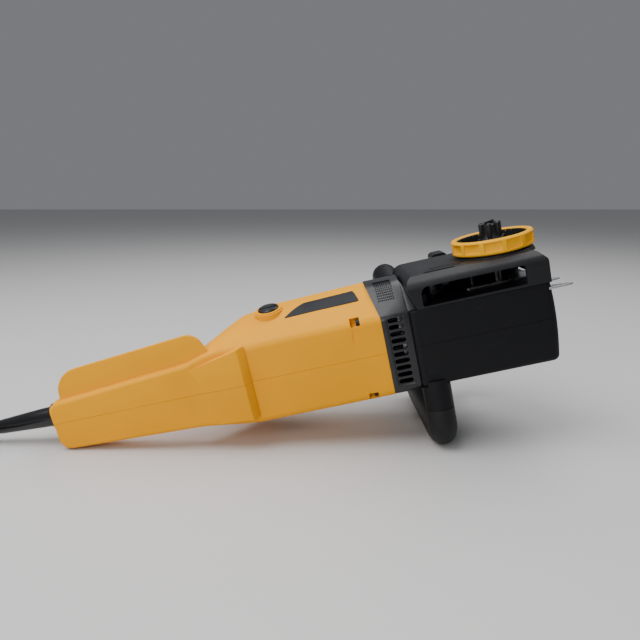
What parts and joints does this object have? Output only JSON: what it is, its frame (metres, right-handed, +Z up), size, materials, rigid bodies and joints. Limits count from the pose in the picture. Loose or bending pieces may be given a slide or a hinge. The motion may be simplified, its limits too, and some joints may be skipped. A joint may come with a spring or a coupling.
{
  "type": "electric chainsaw power head",
  "caption": "Corded in-line electric chainsaw body without bar and chain, lying on its left side, with D rear handle, wrap front handle and tension ring.",
  "frame": {"origin": "centre of the underside of the saw's box as it lies, on the surface it rests on, the free cord and plug left out", "axes": "+X along the saw towards its nose, which is raised by 12.4 degrees; +Y to the saw's top; +Z up, which is the saw's right side"},
  "size_m": [0.7489, 0.2594, 0.2162],
  "materials": {
    "yellow_shell": "moulded satin yellow plastic",
    "yellow_ring": "moulded yellow plastic",
    "black_shell": "fine-grained black glass-filled plastic",
    "black_cover": "fine-grained black plastic",
    "black_rubber": "soft black rubber",
    "cord_rubber": "smooth black rubber",
    "label_film": "dark grey printed film, blank",
    "steel": "bright zinc-plated steel",
    "dark_steel": "hardened steel",
    "lamination": "stacked laminations",
    "copper": "enamelled copper wire",
    "brass": "brass",
    "aluminium": "die-cast aluminium",
    "carbon": "pressed carbon",
    "tank_plastic": "natural translucent plastic",
    "clear_window": "clear plastic"
  },
  "bodies": {
    "saw": {"bar_stud": "steel", "blank_label": "label_film", "brake_band": "dark_steel", "brush_caps": "black_cover", "brush_holders": "brass", "button_spring": "steel", "carbon_brushes": "carbon", "case_screws": "steel", "chain_catcher": "aluminium", "cord_boot": "cord_rubber", "cord_clamp": "black_shell", "cord_coil": "cord_rubber", "cord_gland": "yellow_shell", "cord_lead": "cord_rubber", "cord_tail": "cord_rubber", "cord_tie": "black_shell", "field_coils": "copper", "front_grip": "black_rubber", "front_handle": "black_shell", "gear_case": "aluminium", "gear_case_cover": "aluminium", "gear_housing_left": "black_shell", "gear_housing_right": "black_shell", "guide_plate": "steel", "left_housing": "yellow_shell", "motor_bearings": "dark_steel", "oil_pump": "aluminium", "oil_tank": "tank_plastic", "oil_window": "clear_window", "pivot_pins": "steel", "plug_body": "cord_rubber", "plug_pins": "steel", "right_housing": "yellow_shell", "spiked_bumper": "steel", "spindle_bearings": "dark_steel", "sprocket_cover": "black_cover", "stator_core": "lamination", "switch_body": "black_shell", "vent_ring": "black_shell"},
    "rotor": {"armature_shaft": "dark_steel", "armature_core": "lamination", "armature_windings": "copper", "commutator": "copper", "cooling_fan": "black_shell", "drive_pinion": "dark_steel"},
    "spindle": {"sprocket_spindle": "dark_steel", "bevel_gear": "dark_steel", "brake_drum": "dark_steel", "drive_sprocket": "dark_steel", "sprocket_retainer": "steel"},
    "trigger": {"trigger": "black_cover"},
    "switch_plunger": {"switch_plunger": "black_shell"},
    "lock_off_button": {"lock_off_button": "black_cover"},
    "hand_guard": {"hand_guard": "black_cover"},
    "tension_ring": {"tension_ring": "yellow_ring", "ring_dish": "black_cover"},
    "tension_slider": {"tension_slider": "steel"},
    "clamp_knob": {"clamp_knob": "black_cover", "clamp_nut": "steel"},
    "oil_cap": {"oil_cap": "black_cover"}
  },
  "joints": [
    {"name": "motor_spin", "type": "hinge", "parent": "saw", "child": "rotor", "pos_m": [0.04733, -0.0283, 0.08874], "axis": [0.9767, 0, 0.2147], "continuous": true},
    {"name": "sprocket_spin", "type": "hinge", "parent": "saw", "child": "spindle", "pos_m": [0.13328, -0.0283, 0.10763], "axis": [-0.2147, 0, 0.9767], "continuous": true},
    {"name": "trigger_pull", "type": "hinge", "parent": "saw", "child": "trigger", "pos_m": [-0.07768, 0.0077, 0.06125], "axis": [0.2147, 0, -0.9767], "range_deg": [0, 12], "stiffness_Nm_per_rad": 0.6, "springref_deg": -20.05},
    {"name": "plunger_slide", "type": "slide", "parent": "saw", "child": "switch_plunger", "axis": [0, 1, 0], "range_m": [0, 0.0037]},
    {"name": "lock_off_press", "type": "slide", "parent": "saw", "child": "lock_off_button", "axis": [0.2147, 0, -0.9767], "range_m": [0, 0.004], "stiffness_N_per_m": 400, "springref_m": -0.003, "deforming": ["button_spring"]},
    {"name": "guard_tilt", "type": "hinge", "parent": "saw", "child": "hand_guard", "pos_m": [0.16649, 0.0327, 0.11493], "axis": [0.2147, 0, -0.9767], "range_deg": [0, 12]},
    {"name": "ring_turn", "type": "hinge", "parent": "saw", "child": "tension_ring", "pos_m": [0.18087, -0.0283, 0.19387], "axis": [-0.2147, 0, 0.9767], "range_deg": [0, 270]},
    {"name": "slider_travel", "type": "slide", "parent": "saw", "child": "tension_slider", "axis": [0.9767, 0, 0.2147], "range_m": [0, 0.012]},
    {"name": "knob_turn", "type": "hinge", "parent": "saw", "child": "clamp_knob", "pos_m": [0.18087, -0.0283, 0.19387], "axis": [-0.2147, 0, 0.9767], "continuous": true},
    {"name": "cap_turn", "type": "hinge", "parent": "saw", "child": "oil_cap", "pos_m": [0.20399, 0.0257, 0.1027], "axis": [0, 1, 0], "continuous": true}
  ],
  "couplings": [
    {"joint": "sprocket_spin", "follows": "motor_spin", "ratio": 0.25},
    {"joint": "plunger_slide", "follows": "trigger_pull", "m_per_rad": 0.017},
    {"joint": "slider_travel", "follows": "ring_turn", "m_per_rad": 0.002504}
  ]
}
